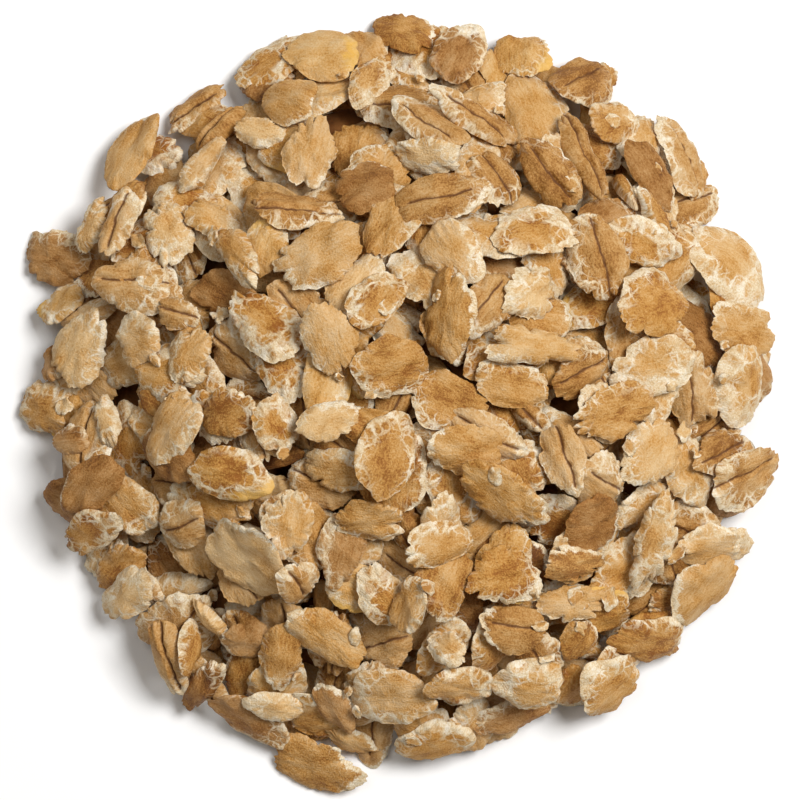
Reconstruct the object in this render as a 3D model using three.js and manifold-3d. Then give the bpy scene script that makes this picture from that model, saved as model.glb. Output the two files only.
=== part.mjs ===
// A heap of rolled spelt flakes, poured out on a table: about 96 mm across and 27 mm high.
//
// The heap is one solid. A plain mound fills its inside, and the flakes that show lie on it as
// separate plates at true size, fused where they touch. Each flake comes to rest the way a real one
// does: it is dropped on what already lies there and tips over until it leans on three points.
// Lengths are in millimetres, +Z is up, and the heap stands on Z = 0 with its middle at the origin.

import * as THREE from "three";
import { mergeVertices } from "three/addons/utils/BufferGeometryUtils.js";
import Module from "manifold-3d";

// The heap.
const HEAP_RADIUS = 48;
const HEAP_HEIGHT = 23; // of its middle surface, which the topmost flakes rise over
const HEAP_ROUNDNESS = 1.9; // 1 would be a cone, 2 and more a dome with a flatter top
const HEAP_SHOULDER = 0.9; // under 1 makes the foot of the slope steeper
const HEAP_PEAK = [0.8, 1.2]; // the heap's top, from the point that the flakes are placed from

// The flakes: a broad one is a whole grain rolled flat, and a narrow one was hardly pressed.
const BROAD = { share: 0.9, length: [8.4, 12], width: [0.58, 0.84], thickness: [0.9, 1.3] };
const NARROW = { share: 0.1, length: [7.2, 9.4], width: [0.36, 0.5], thickness: [1.4, 1.9] };

// How the flakes pile up.
const LOOSE_DEPTH = 4.0; // the flakes are laid on a mound this far under the heap's surface
const FOOT_ROOM = 4.5; // no flake under those on top has its middle nearer to the heap's foot
const STEEPEST = 1.05; // rise over run of the most tilted flake
const PRESSED_IN = 0.35; // how far a flake beds into those it lies on
const MOST_PROPPED = 0.28; // rise over run by which a flake may stay off its lowest rest
const LOW_ENOUGH = 1.4; // the pile is full where it is this close to the heap's surface
const MOST_FLAKES = 700;
const PLACES_TRIED = 14; // the lowest of these places gets the next flake
const SEED = 20831;

// The flakes on top, in the order in which they lie on each other. Each row is the place of a
// flake's middle, the turn of its length in degrees from +X, its length and its width.
const TOP_FLAKES = [
  // The foot of the heap, clockwise from the far side.
  [1, 46.5, -20, 8.5, 7], [7.5, 43.6, 60, 9, 7], [15.5, 43.6, 90, 8.5, 8], [25.5, 40.5, 80, 6, 4],
  [22.8, 40, 30, 9.5, 7], [26.5, 35, 15, 8, 6], [37.2, 28, 80, 6.5, 3], [35, 31, -65, 11.5, 6.5],
  [41, 17.5, -35, 13.5, 9.5], [42.8, 9.2, -15, 10.5, 7], [42.6, 2.5, 80, 10.5, 9], [39.5, -6, 25, 10.5, 5.5],
  [42.6, -9, 25, 13, 7.5], [38.5, -17.5, 0, 11, 5.5], [38, -23, 50, 11.5, 8],
  [31.4, -29.2, -12, 12.5, 6.5], [26, -35, 40, 9.5, 9], [14, -38.8, 15, 10, 5.5], [4.5, -42, 15, 10.5, 7],
  [-6, -42, -25, 8, 4], [-10.5, -45, -15, 11.8, 8.2], [-18.5, -39, -30, 11, 7],
  [-24.5, -35, 55, 10, 4], [-28.5, -31, -75, 11, 5], [-35, -20, 45, 9, 6], [-33.5, -23.5, 40, 10.5, 6],
  [-38, -10, 45, 10, 6], [-38, -15.5, 30, 11, 5.5], [-40.5, -4.5, 10, 6, 4], [-44.2, -0.5, 0, 8.5, 7.5],
  [-43, 5, 90, 5, 4], [-39.5, 7, 60, 11, 7], [-43, 18.3, -10, 10.5, 7], [-42, 12.5, 35, 8, 5],
  [-38, 22, 75, 8, 4.5], [-33.2, 31.4, 62, 10.5, 7], [-25.5, 37, 35, 9, 5.5], [-16, 42.6, 30, 10, 7],
  [-9.5, 43.8, 0, 9.5, 8.5],
  // The far slope.
  [-3.5, 40, 60, 7.5, 5], [-22, 34, 42, 8, 3.5], [-17, 33.5, -5, 7, 4], [-13.5, 37.5, -20, 7.5, 6.5],
  [-24.5, 29.5, 51, 9, 3], [-11, 31, 75, 9, 7], [-4, 26.5, 0, 8, 7], [3.5, 34.5, -35, 11, 5.5],
  [9, 35, -35, 12.5, 4.5], [3.5, 30.5, 0, 9.5, 5], [11.5, 27.5, -55, 8.5, 6.5],
  [22.5, 30.5, -65, 12.5, 4], [18.5, 28.5, -50, 10.5, 6], [31, 28.5, -55, 10, 5],
  [28, 26, -60, 6, 2], [31.5, 23, -62, 9, 3],
  // The left slope.
  [-34.5, 22.5, 70, 9, 5], [-28.5, 21, -70, 9, 6.5], [-32.5, 14.5, -3, 10, 7], [-32, 8, 0, 7, 6.5],
  [-27, 11, -15, 6, 4], [-25.5, 6, 60, 8, 5.5], [-36, -2, -70, 7.5, 3.5], [-27.5, -3, 60, 10.5, 7],
  [-26.5, -14.5, 20, 7.5, 6.5],
  // The near slope.
  [-26, -30, 80, 7, 4], [-23, -26.5, -47, 6.5, 2.5], [-18.5, -29, 30, 7, 5.5], [-14.5, -31, 85, 9.5, 5.5],
  [-9, -28.5, -35, 12, 6], [-15.5, -37.5, -10, 8, 4.5], [-8, -37.5, -60, 8, 4.5], [-1, -36, 0, 10.5, 8],
  [7.5, -34.5, -10, 9.5, 6], [16, -34.5, -10, 9, 7.5], [6, -30, -30, 5.5, 4.5], [22, -29, 60, 6, 5],
  [14, -27.5, -10, 9.5, 6], [21, -24.5, 0, 9.5, 5],
  // The right slope.
  [30, 20, -30, 10, 6], [24, 18, -75, 11.5, 7], [31, 12.5, 0, 11, 8.5], [31, 4.5, 10, 11.5, 7.5],
  [31, -6, 60, 9, 7.5], [31.5, -16.5, 72, 12.5, 6],
  // The crown.
  [-23, 22.5, -20, 7.5, 5.5], [-19.5, 18, -50, 10.5, 5], [-12.5, 23.5, -5, 12, 6],
  [-9.5, 18, 25, 11.5, 8], [5, 25, 12, 11.5, 6.5], [16.5, 21, 0, 11.5, 7.5], [-16, 9.5, -38, 12, 7.5],
  [-3, 12.5, 45, 9, 6], [-8.5, 8, -70, 10, 6.5], [6.5, 18.5, -50, 9, 7], [16, 13.5, 35, 9, 7],
  [6, 11, 82, 11.5, 7], [13.5, 2.5, -10, 10.5, 5.5], [16, 7, -3, 12, 5.5], [26, -1, 15, 12, 7],
  [-1, 4.5, 10, 10, 8], [-20.5, -1, 30, 7.5, 6.5], [-15, -2.5, -60, 8, 6], [-8.5, -2, 10, 8, 5],
  [-20.5, -8.5, -8, 10, 7], [-7, -8, -5, 11, 5.5], [-1.5, -6, 75, 11, 8], [8, -5.5, -10, 10, 6.5],
  [23.5, -14.5, 0, 9, 8], [20, -6.5, -70, 9, 6], [12.5, -11, -40, 13, 8], [-13.5, -14.5, 80, 9, 6.5],
  [-18, -18.5, -40, 12.5, 9.5], [-7, -17.5, 80, 10, 6], [-3.5, -14, -5, 9.5, 6],
  [-12.5, -21.5, -60, 7, 5.5], [-2, -23.5, -50, 9, 6], [1.5, -24.5, 70, 8, 5.5], [4.5, -17, 15, 8.5, 6],
  [12.5, -21, 10, 9.5, 8], [21.5, -19.5, 0, 10, 5],
];

// The middle of the finished heap's box, which goes to the origin.
const HEAP_MIDDLE = [-0.25, 0.34];

// The grid that holds the pile's height.
const CELL = 0.5;
const FIELD_REACH = 56;
const FIELD_CELLS = Math.round((2 * FIELD_REACH) / CELL);
const ROOM_REACH = 2; // the room over the pile is averaged this far round a point

// How a flake finds its rest: slopes are tried in eight directions, in ever smaller steps.
const FIRST_SLOPE_STEP = 0.4;
const LAST_SLOPE_STEP = 0.01;
const SLOPE_DIRECTIONS = 8;
const THINNER_RIM = 0.35; // share of its thickness that a flake loses from its middle to its rim

// The solids.
const MOUND_DEPTH = 1.2; // the mound inside the heap is this far under the heap's surface
const MOUND_RINGS = 8;
const MOUND_SIDES = 26;
const MOUND_SKIRT = 3.5; // the mound's foot reaches this far out from its lowest ring
const FLAKE_SIDES = 7;
const ROOT = 5; // under its rim a flake tapers to a point this deep, which ties it to the mound
const LEAST_SEEN = 62; // cells of the pile's top that a flake has to hold to be made
const FLOOR_DEPTH = 20;
const MERGE_DISTANCE = 1e-4;

// Numbers from 0 to 1 that are the same on every run (Park and Miller's generator).
function makeRandom(seed) {
  let state = seed;
  return () => {
    state = (state * 16807) % 2147483647;
    return state / 2147483647;
  };
}

const between = (range, share) => range[0] + (range[1] - range[0]) * share;

// The height of the heap's surface over a point, 0 outside its foot.
function heapSurface(x, y) {
  const share = Math.hypot(x - HEAP_PEAK[0], y - HEAP_PEAK[1]) / HEAP_RADIUS;
  return share >= 1 ? 0 : HEAP_HEIGHT * (1 - share ** HEAP_ROUNDNESS) ** HEAP_SHOULDER;
}

// The pile so far, as the height and the topmost flake of each cell of a square grid.
class Pile {
  constructor() {
    this.flakes = [];
    this.height = new Float64Array(FIELD_CELLS ** 2);
    this.topmost = new Int32Array(FIELD_CELLS ** 2).fill(-1);
    for (let row = 0; row < FIELD_CELLS; row++)
      for (let column = 0; column < FIELD_CELLS; column++) {
        const start = heapSurface(this.at(column), this.at(row)) - LOOSE_DEPTH;
        this.height[row * FIELD_CELLS + column] = Math.max(0, start);
      }
  }

  at(index) {
    return (index + 0.5) * CELL - FIELD_REACH;
  }

  // The cells in the square around a point, as [cell, x offset, y offset].
  *around(x, y, reach) {
    const first = (v) => Math.ceil((v - reach + FIELD_REACH) / CELL - 0.5);
    const last = (v) => Math.floor((v + reach + FIELD_REACH) / CELL - 0.5);
    for (let row = first(y); row <= last(y); row++)
      for (let column = first(x); column <= last(x); column++)
        yield [row * FIELD_CELLS + column, this.at(column) - x, this.at(row) - y];
  }

  // How far the pile lies under the heap's surface near a point.
  roomAt(x, y) {
    let sum = 0;
    let count = 0;
    for (const [cell] of this.around(x, y, ROOM_REACH)) {
      sum += this.height[cell];
      count++;
    }
    return heapSurface(x, y) - sum / count;
  }

  // The cells under a flake, with the square of how far out in the flake each one is.
  under(flake, slope) {
    const { along, across } = axesOf(flake.turn, slope);
    const [halfLength, halfWidth] = [flake.length / 2, flake.width / 2];
    const offset = new THREE.Vector3();
    const cells = [];
    for (const [cell, x, y] of this.around(flake.x, flake.y, halfLength)) {
      offset.set(x, y, x * slope[0] + y * slope[1]);
      const out = (offset.dot(along) / halfLength) ** 2 + (offset.dot(across) / halfWidth) ** 2;
      if (out < 1) cells.push({ cell, x, y, out });
    }
    return cells;
  }

  // How high the middle of a flake with this slope is held by what lies under it.
  holds(cells, slope) {
    let most = -Infinity;
    for (const { cell, x, y } of cells)
      most = Math.max(most, this.height[cell] - slope[0] * x - slope[1] * y);
    return most;
  }

  // The slope at which a flake's middle is lowest, which is how it comes to rest.
  restingSlope(flake) {
    let slope = [0, 0];
    for (let look = 0; look < 2; look++) {
      const cells = this.under(flake, slope);
      let held = this.holds(cells, slope);
      for (let step = FIRST_SLOPE_STEP; step > LAST_SLOPE_STEP; ) {
        let better = null;
        for (let way = 0; way < SLOPE_DIRECTIONS; way++) {
          const angle = (2 * Math.PI * way) / SLOPE_DIRECTIONS;
          const tried = [slope[0] + step * Math.cos(angle), slope[1] + step * Math.sin(angle)];
          const height = this.holds(cells, tried);
          if (height < held - 1e-9 && Math.hypot(...tried) <= STEEPEST) {
            held = height;
            better = tried;
          }
        }
        if (better) slope = better;
        else step /= 2;
      }
    }
    return slope;
  }

  // Drops a flake on the pile: it gets its slope and the height of its underside's middle.
  lay(flake) {
    const rest = this.restingSlope(flake);
    const propped = MOST_PROPPED * flake.propped;
    const steep = [rest[0] + propped * Math.cos(flake.lean), rest[1] + propped * Math.sin(flake.lean)];
    const slope = steep.map((run) => run * Math.min(1, STEEPEST / Math.hypot(...steep)));
    const cells = this.under(flake, slope);
    const z = this.holds(cells, slope) - PRESSED_IN;
    const upright = flake.thickness * Math.hypot(1, ...slope);
    for (const { cell, x, y, out } of cells) {
      const top = z + slope[0] * x + slope[1] * y + upright * (1 - THINNER_RIM * out);
      if (top > this.height[cell]) {
        this.height[cell] = top;
        this.topmost[cell] = this.flakes.length;
      }
    }
    this.flakes.push({ ...flake, slope, z });
  }
}

// The axes of a flake that lies on a slope: along its length, across it, and square to it.
function axesOf(turn, slope) {
  const normal = new THREE.Vector3(-slope[0], -slope[1], 1).normalize();
  const along = new THREE.Vector3(Math.cos(turn), Math.sin(turn), 0);
  along.z = along.x * slope[0] + along.y * slope[1];
  along.normalize();
  return { along, across: new THREE.Vector3().crossVectors(normal, along), normal };
}

// The place with the most room of a few that are tried at random.
function roomiest(pile, random) {
  let best = { room: -Infinity };
  for (let tried = 0; tried < PLACES_TRIED; tried++) {
    const radius = (HEAP_RADIUS - FOOT_ROOM) * Math.sqrt(random());
    const angle = 2 * Math.PI * random();
    const x = HEAP_PEAK[0] + radius * Math.cos(angle);
    const y = HEAP_PEAK[1] + radius * Math.sin(angle);
    const room = pile.roomAt(x, y);
    if (room > best.room) best = { x, y, room };
  }
  return best;
}

// What differs from flake to flake: the form of its edge, and which way and how far it is propped.
function unevennessFrom(random) {
  return { unevenness: random(), lean: 2 * Math.PI * random(), propped: random() };
}

// All the flakes, lowest first, each with the count of the pile's cells that it is the top of.
function pourFlakes() {
  const random = makeRandom(SEED);
  const pile = new Pile();
  while (pile.flakes.length < MOST_FLAKES) {
    const { x, y, room } = roomiest(pile, random);
    if (room < LOW_ENOUGH) break;
    const kind = random() < BROAD.share ? BROAD : NARROW;
    const length = between(kind.length, random());
    const width = length * between(kind.width, random());
    const thickness = between(kind.thickness, random());
    const turn = 2 * Math.PI * random();
    pile.lay({ x, y, turn, length, width, thickness, ...unevennessFrom(random) });
  }
  for (const [x, y, degrees, length, width] of TOP_FLAKES) {
    const kind = width / length < NARROW.width[1] ? NARROW : BROAD;
    const thickness = between(kind.thickness, random());
    const turn = THREE.MathUtils.degToRad(degrees);
    pile.lay({ x, y, turn, length, width, thickness, ...unevennessFrom(random) });
  }
  const seen = new Array(pile.flakes.length).fill(0);
  for (const index of pile.topmost) if (index >= 0) seen[index]++;
  return pile.flakes.map((flake, index) => ({ ...flake, seen: seen[index] }));
}

// How far a flake's edge is from its middle at an angle, as a share of a plain oval's.
function edge(flake, angle) {
  const phase = 2 * Math.PI * flake.unevenness;
  return (
    1 +
    0.05 * Math.cos(2 * angle + phase) +
    0.05 * Math.cos(3 * angle + 2 * phase) +
    0.03 * Math.cos(5 * angle + 3 * phase)
  );
}

const wasm = await Module();
wasm.setup();

// A closed geometry as a solid that can be joined and cut.
function solidOf(geometry) {
  const bare = geometry.clone();
  bare.deleteAttribute("normal");
  bare.deleteAttribute("uv");
  const merged = mergeVertices(bare, MERGE_DISTANCE);
  return new wasm.Manifold(
    new wasm.Mesh({
      numProp: 3,
      vertProperties: merged.attributes.position.array,
      triVerts: new Uint32Array(merged.index.array),
    }),
  );
}

function geometryOf(solid) {
  const mesh = solid.getMesh();
  const geometry = new THREE.BufferGeometry();
  geometry.setAttribute("position", new THREE.BufferAttribute(mesh.vertProperties, 3));
  geometry.setIndex(new THREE.BufferAttribute(mesh.triVerts, 1));
  geometry.computeVertexNormals();
  return geometry;
}

// A turned shape that stands on Z, from the distances from its axis and the heights of its section.
function turned(section, sides) {
  const points = section.map(([out, up]) => new THREE.Vector2(out, up));
  return new THREE.LatheGeometry(points, sides).rotateX(Math.PI / 2);
}

// A plate with an uneven oval edge, thickest in its middle, where it lies in the pile.
function flakeSolid(flake) {
  const { x, y, z, turn, slope, length, width, thickness } = flake;
  const section = [
    [0, -ROOT],
    [1, 0.3 * thickness],
    [0.78, 0.88 * thickness],
    [0, thickness],
  ];
  const plate = turned(section, FLAKE_SIDES);
  const place = plate.attributes.position;
  for (let i = 0; i < place.count; i++) {
    const reach = edge(flake, Math.atan2(place.getY(i), place.getX(i)));
    place.setX(i, (place.getX(i) * reach * length) / 2);
    place.setY(i, (place.getY(i) * reach * width) / 2);
  }
  const { along, across, normal } = axesOf(turn, slope);
  const lie = new THREE.Matrix4().makeBasis(along, across, normal).setPosition(x, y, z);
  return solidOf(plate.applyMatrix4(lie));
}

// The mound inside the heap, which stands on the floor with a flat underside.
function moundSolid() {
  const section = [];
  for (let ring = MOUND_RINGS; ring >= 0; ring--) {
    const radius = (HEAP_RADIUS * ring) / MOUND_RINGS;
    const height = heapSurface(HEAP_PEAK[0] + radius, HEAP_PEAK[1]) - MOUND_DEPTH;
    if (height > 0) section.push([radius, height]);
  }
  const foot = section[0][0] + MOUND_SKIRT;
  const mound = turned([[0, 0], [foot, 0], ...section], MOUND_SIDES);
  return solidOf(mound.translate(HEAP_PEAK[0], HEAP_PEAK[1], 0));
}

// The mound and the flakes that show, joined and cut off level with the floor. A flake that
// touches nothing is dropped.
function heapSolid() {
  const shown = pourFlakes().filter((flake) => flake.seen >= LEAST_SEEN);
  const joined = shown.reduce((heap, flake) => heap.add(flakeSolid(flake)), moundSolid());
  const floor = new THREE.BoxGeometry(4 * HEAP_RADIUS, 4 * HEAP_RADIUS, FLOOR_DEPTH);
  const standing = joined.subtract(solidOf(floor.translate(0, 0, -FLOOR_DEPTH / 2)));
  const bodies = standing.decompose();
  return bodies.reduce((most, body) => (body.volume() > most.volume() ? body : most));
}

const heap = new THREE.Mesh(
  geometryOf(heapSolid()),
  new THREE.MeshStandardMaterial({ color: 0xc3965c, roughness: 0.75, metalness: 0 }),
);
heap.name = "flake_heap";
heap.position.set(-HEAP_MIDDLE[0], -HEAP_MIDDLE[1], 0);

const group = new THREE.Group();
group.add(heap);

export default group;
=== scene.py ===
"""The looks of a heap of rolled spelt flakes, seen from straight above as in the photo.

The heap's solid is replaced by single flakes on a mound of their own. The flakes lie where the
solid's flakes lie, because both come from the same rule: each one is dropped on what is already
there and tips over until it leans on three points. Lengths are in millimetres unless a name says
otherwise, and turn into metres where a mesh, a light or the camera is made.
"""

import math

import bpy
import numpy as np
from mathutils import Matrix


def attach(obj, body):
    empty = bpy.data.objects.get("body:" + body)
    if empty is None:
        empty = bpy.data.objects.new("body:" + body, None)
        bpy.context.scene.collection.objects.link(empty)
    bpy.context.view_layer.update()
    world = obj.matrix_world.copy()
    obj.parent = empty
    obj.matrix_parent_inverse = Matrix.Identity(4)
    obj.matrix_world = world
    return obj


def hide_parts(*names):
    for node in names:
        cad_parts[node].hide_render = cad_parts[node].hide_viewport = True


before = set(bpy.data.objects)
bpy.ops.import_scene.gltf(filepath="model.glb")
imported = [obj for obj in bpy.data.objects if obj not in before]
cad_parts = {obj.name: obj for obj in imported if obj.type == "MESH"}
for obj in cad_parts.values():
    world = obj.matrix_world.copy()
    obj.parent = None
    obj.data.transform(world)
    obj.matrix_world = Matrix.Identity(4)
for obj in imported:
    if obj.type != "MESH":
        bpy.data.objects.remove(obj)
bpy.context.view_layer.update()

METRES = 0.001

# The heap, as in the solid.
HEAP_RADIUS = 48
HEAP_HEIGHT = 23
HEAP_ROUNDNESS = 1.9
HEAP_SHOULDER = 0.9
HEAP_PEAK = (0.8, 1.2)
HEAP_MIDDLE = (-0.25, 0.34)

# The flakes' kinds, as in the solid.
BROAD = {"share": 0.9, "length": (8.4, 12), "width": (0.58, 0.84), "thickness": (0.9, 1.3)}
NARROW = {"share": 0.1, "length": (7.2, 9.4), "width": (0.36, 0.5), "thickness": (1.4, 1.9)}

# How the flakes pile up, as in the solid.
LOOSE_DEPTH = 4.0
FOOT_ROOM = 4.5
STEEPEST = 1.05
PRESSED_IN = 0.35
MOST_PROPPED = 0.28
LOW_ENOUGH = 1.4
MOST_FLAKES = 700
PLACES_TRIED = 14
SEED = 20831
CELL = 0.5
FIELD_REACH = 56
FIELD_CELLS = round(2 * FIELD_REACH / CELL)
ROOM_REACH = 2
SETTLING_ROUNDS = 2
FIRST_SLOPE_STEP = 0.4
LAST_SLOPE_STEP = 0.01
SLOPE_DIRECTIONS = 8
LEAST_FALL = 1e-9
THINNER_RIM = 0.35

# The flakes on top, as in the solid: place, turn in degrees, length, width, and the kind of look.
# p is plain, c creased, k cracked, w pale, g golden and d dark, which is partly darker bran and
# partly painted shade on flakes that lie in shade.
TOP_FLAKES = [
    # The foot of the heap, clockwise from the far side.
    (1, 46.5, -20, 8.5, 7, "p"), (7.5, 43.6, 60, 9, 7, "d"), (15.5, 43.6, 90, 8.5, 8, "g"),
    (25.5, 40.5, 80, 6, 4, "p"), (22.8, 40, 30, 9.5, 7, "c"), (26.5, 35, 15, 8, 6, "p"),
    (37.2, 28, 80, 6.5, 3, "p"), (35, 31, -65, 11.5, 6.5, "c"), (41, 17.5, -35, 13.5, 9.5, "k"),
    (42.8, 9.2, -15, 10.5, 7, "p"), (42.6, 2.5, 80, 10.5, 9, "k"), (39.5, -6, 25, 10.5, 5.5, "c"),
    (42.6, -9, 25, 13, 7.5, "c"), (38.5, -17.5, 0, 11, 5.5, "p"), (38, -23, 50, 11.5, 8, "p"),
    (31.4, -29.2, -12, 12.5, 6.5, "p"), (26, -35, 40, 9.5, 9, "k"), (14, -38.8, 15, 10, 5.5, "d"),
    (4.5, -42, 15, 10.5, 7, "k"), (-6, -42, -25, 8, 4, "k"), (-10.5, -45, -15, 11.8, 8.2, "p"),
    (-18.5, -39, -30, 11, 7, "d"), (-24.5, -35, 55, 10, 4, "d"), (-28.5, -31, -75, 11, 5, "c"),
    (-35, -20, 45, 9, 6, "p"), (-33.5, -23.5, 40, 10.5, 6, "w"), (-38, -10, 45, 10, 6, "d"),
    (-38, -15.5, 30, 11, 5.5, "k"), (-40.5, -4.5, 10, 6, 4, "d"), (-44.2, -0.5, 0, 8.5, 7.5, "p"),
    (-43, 5, 90, 5, 4, "d"), (-39.5, 7, 60, 11, 7, "w"), (-43, 18.3, -10, 10.5, 7, "d"),
    (-42, 12.5, 35, 8, 5, "g"), (-38, 22, 75, 8, 4.5, "w"), (-33.2, 31.4, 62, 10.5, 7, "k"),
    (-25.5, 37, 35, 9, 5.5, "c"), (-16, 42.6, 30, 10, 7, "k"), (-9.5, 43.8, 0, 9.5, 8.5, "g"),
    # The far slope.
    (-3.5, 40, 60, 7.5, 5, "w"), (-22, 34, 42, 8, 3.5, "c"), (-17, 33.5, -5, 7, 4, "w"),
    (-13.5, 37.5, -20, 7.5, 6.5, "p"), (-24.5, 29.5, 51, 9, 3, "p"), (-11, 31, 75, 9, 7, "p"),
    (-4, 26.5, 0, 8, 7, "d"), (3.5, 34.5, -35, 11, 5.5, "c"), (9, 35, -35, 12.5, 4.5, "c"),
    (3.5, 30.5, 0, 9.5, 5, "w"), (11.5, 27.5, -55, 8.5, 6.5, "c"), (22.5, 30.5, -65, 12.5, 4, "c"),
    (18.5, 28.5, -50, 10.5, 6, "c"), (31, 28.5, -55, 10, 5, "d"), (28, 26, -60, 6, 2, "p"),
    (31.5, 23, -62, 9, 3, "p"),
    # The left slope.
    (-34.5, 22.5, 70, 9, 5, "c"), (-28.5, 21, -70, 9, 6.5, "w"), (-32.5, 14.5, -3, 10, 7, "c"),
    (-32, 8, 0, 7, 6.5, "p"), (-27, 11, -15, 6, 4, "c"), (-25.5, 6, 60, 8, 5.5, "p"),
    (-36, -2, -70, 7.5, 3.5, "w"), (-27.5, -3, 60, 10.5, 7, "p"), (-26.5, -14.5, 20, 7.5, 6.5, "c"),
    # The near slope.
    (-26, -30, 80, 7, 4, "p"), (-23, -26.5, -47, 6.5, 2.5, "w"), (-18.5, -29, 30, 7, 5.5, "d"),
    (-14.5, -31, 85, 9.5, 5.5, "p"), (-9, -28.5, -35, 12, 6, "k"), (-15.5, -37.5, -10, 8, 4.5, "w"),
    (-8, -37.5, -60, 8, 4.5, "d"), (-1, -36, 0, 10.5, 8, "p"), (7.5, -34.5, -10, 9.5, 6, "p"),
    (16, -34.5, -10, 9, 7.5, "k"), (6, -30, -30, 5.5, 4.5, "w"), (22, -29, 60, 6, 5, "p"),
    (14, -27.5, -10, 9.5, 6, "c"), (21, -24.5, 0, 9.5, 5, "p"),
    # The right slope.
    (30, 20, -30, 10, 6, "k"), (24, 18, -75, 11.5, 7, "c"), (31, 12.5, 0, 11, 8.5, "k"),
    (31, 4.5, 10, 11.5, 7.5, "k"), (31, -6, 60, 9, 7.5, "k"), (31.5, -16.5, 72, 12.5, 6, "w"),
    # The crown.
    (-23, 22.5, -20, 7.5, 5.5, "k"), (-19.5, 18, -50, 10.5, 5, "k"), (-12.5, 23.5, -5, 12, 6, "c"),
    (-9.5, 18, 25, 11.5, 8, "p"), (5, 25, 12, 11.5, 6.5, "c"), (16.5, 21, 0, 11.5, 7.5, "k"),
    (-16, 9.5, -38, 12, 7.5, "k"), (-3, 12.5, 45, 9, 6, "p"), (-8.5, 8, -70, 10, 6.5, "p"),
    (6.5, 18.5, -50, 9, 7, "p"), (16, 13.5, 35, 9, 7, "w"), (6, 11, 82, 11.5, 7, "p"),
    (13.5, 2.5, -10, 10.5, 5.5, "p"), (16, 7, -3, 12, 5.5, "k"), (26, -1, 15, 12, 7, "p"),
    (-1, 4.5, 10, 10, 8, "p"), (-20.5, -1, 30, 7.5, 6.5, "p"), (-15, -2.5, -60, 8, 6, "k"),
    (-8.5, -2, 10, 8, 5, "w"), (-20.5, -8.5, -8, 10, 7, "g"), (-7, -8, -5, 11, 5.5, "w"),
    (-1.5, -6, 75, 11, 8, "p"), (8, -5.5, -10, 10, 6.5, "p"), (23.5, -14.5, 0, 9, 8, "d"),
    (20, -6.5, -70, 9, 6, "c"), (12.5, -11, -40, 13, 8, "k"), (-13.5, -14.5, 80, 9, 6.5, "k"),
    (-18, -18.5, -40, 12.5, 9.5, "w"), (-7, -17.5, 80, 10, 6, "d"), (-3.5, -14, -5, 9.5, 6, "p"),
    (-12.5, -21.5, -60, 7, 5.5, "c"), (-2, -23.5, -50, 9, 6, "k"), (1.5, -24.5, 70, 8, 5.5, "p"),
    (4.5, -17, 15, 8.5, 6, "p"), (12.5, -21, 10, 9.5, 8, "k"), (21.5, -19.5, 0, 10, 5, "w"),
]


# ---------------------------------------------------------------------------- the pile


def make_random(seed):
    """Numbers from 0 to 1 that are the same on every run (Park and Miller's generator)."""
    state = seed
    while True:
        state = state * 16807 % 2147483647
        yield state / 2147483647


def between(span, share):
    return span[0] + (span[1] - span[0]) * share


def heap_surface(x, y):
    """The height of the heap's surface over a point, 0 outside its foot."""
    share = np.minimum(np.hypot(x - HEAP_PEAK[0], y - HEAP_PEAK[1]) / HEAP_RADIUS, 1)
    return HEAP_HEIGHT * (1 - share**HEAP_ROUNDNESS) ** HEAP_SHOULDER


def surface_slope(x, y):
    """How much the heap's surface rises over a millimetre along x and along y."""
    along_x = heap_surface(x + 0.5, y) - heap_surface(x - 0.5, y)
    along_y = heap_surface(x, y + 0.5) - heap_surface(x, y - 0.5)
    return np.array([along_x, along_y])


def axes_of(turn, slope):
    """The axes of a flake on a slope: along its length, across it, and square to it."""
    normal = np.array([-slope[0], -slope[1], 1])
    normal /= np.linalg.norm(normal)
    along = np.array([math.cos(turn), math.sin(turn), 0])
    along[2] = along[0] * slope[0] + along[1] * slope[1]
    along /= np.linalg.norm(along)
    return along, np.cross(normal, along), normal


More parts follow.
